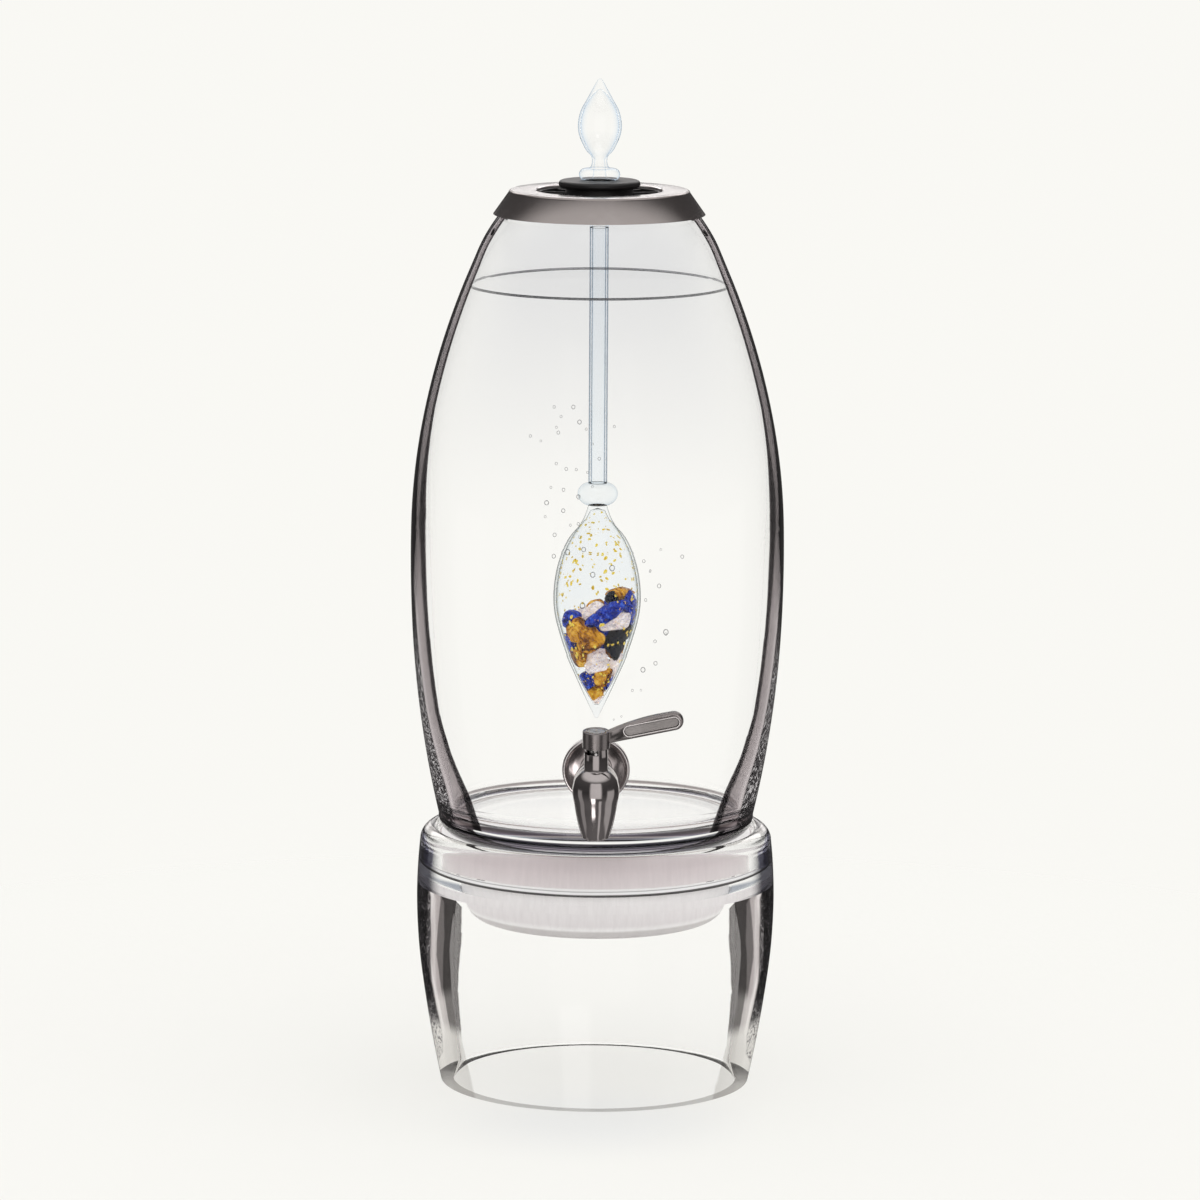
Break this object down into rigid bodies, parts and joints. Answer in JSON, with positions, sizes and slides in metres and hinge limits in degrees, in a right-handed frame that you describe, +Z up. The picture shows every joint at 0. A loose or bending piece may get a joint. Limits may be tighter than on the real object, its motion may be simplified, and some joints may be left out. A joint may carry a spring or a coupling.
{
  "type": "glass water dispenser",
  "caption": "Egg-shaped clear glass jar with lid, hanging glass wand of tumbled stones and a lever tap, on a frosted bowl in a clear ring stand.",
  "frame": {"origin": "centre of the ring stand's foot, on the surface that it stands on", "axes": "+Z up along the jar's axis, -Y towards the tap and its user, +X to the user's right, where the closed lever points"},
  "size_m": [0.2249, 0.2763, 0.6091],
  "materials": {
    "clear_glass": "gloss",
    "frosted_glass": "satin",
    "tinted_glass": "gloss",
    "lid_metal": "satin",
    "tap_metal": "polished",
    "liner_plastic": "matte",
    "dark_silicone": "satin",
    "clear_silicone": "satin",
    "spring_steel": "satin",
    "blue_stone": "polished",
    "amber_stone": "polished",
    "dark_stone": "polished",
    "clear_stone": "polished"
  },
  "bodies": {
    "stand": {"stand_shell": "clear_glass"},
    "bowl": {"support_bowl": "frosted_glass"},
    "jar": {"jar": "clear_glass", "tap_rosette": "tap_metal", "tap_body": "tap_metal", "plug_circlip": "spring_steel", "outer_gasket": "clear_silicone", "inner_gasket": "clear_silicone", "shank_washer": "tap_metal", "shank_nut": "tap_metal"},
    "lid": {"lid_shell": "lid_metal", "lid_liner": "liner_plastic", "lid_seal": "clear_silicone"},
    "wand": {"wand_seat": "dark_silicone", "stopper": "dark_silicone", "wand_finial": "tinted_glass", "wand_stem": "tinted_glass", "wand_bead": "tinted_glass", "wand_drop": "tinted_glass", "stones_blue": "blue_stone", "stones_amber": "amber_stone", "stones_dark": "dark_stone", "stones_clear": "clear_stone"},
    "lever": {"tap_lever": "tap_metal", "tap_plug": "spring_steel", "plug_o_rings": "dark_silicone", "stop_pin": "spring_steel", "lever_screw": "tap_metal"}
  },
  "joints": [
    {"name": "jar_lift", "type": "slide", "parent": "stand", "child": "jar", "axis": [0, 0, 1], "range_m": [0, 0.15]},
    {"name": "bowl_lift", "type": "slide", "parent": "stand", "child": "bowl", "axis": [0, 0, 1], "range_m": [0, 0.06]},
    {"name": "lid_lift", "type": "slide", "parent": "jar", "child": "lid", "axis": [0, 0, 1], "range_m": [0, 0.33]},
    {"name": "wand_lift", "type": "slide", "parent": "lid", "child": "wand", "axis": [0, 0, 1], "range_m": [0, 0.33]},
    {"name": "lever_turn", "type": "hinge", "parent": "jar", "child": "lever", "pos_m": [0, -0.15345, 0.2356], "axis": [0, 0.1132, -0.9936], "range_deg": [0, 90]}
  ],
  "couplings": [
    {"joint": "bowl_lift", "follows": "jar_lift", "ratio": 0.4}
  ]
}
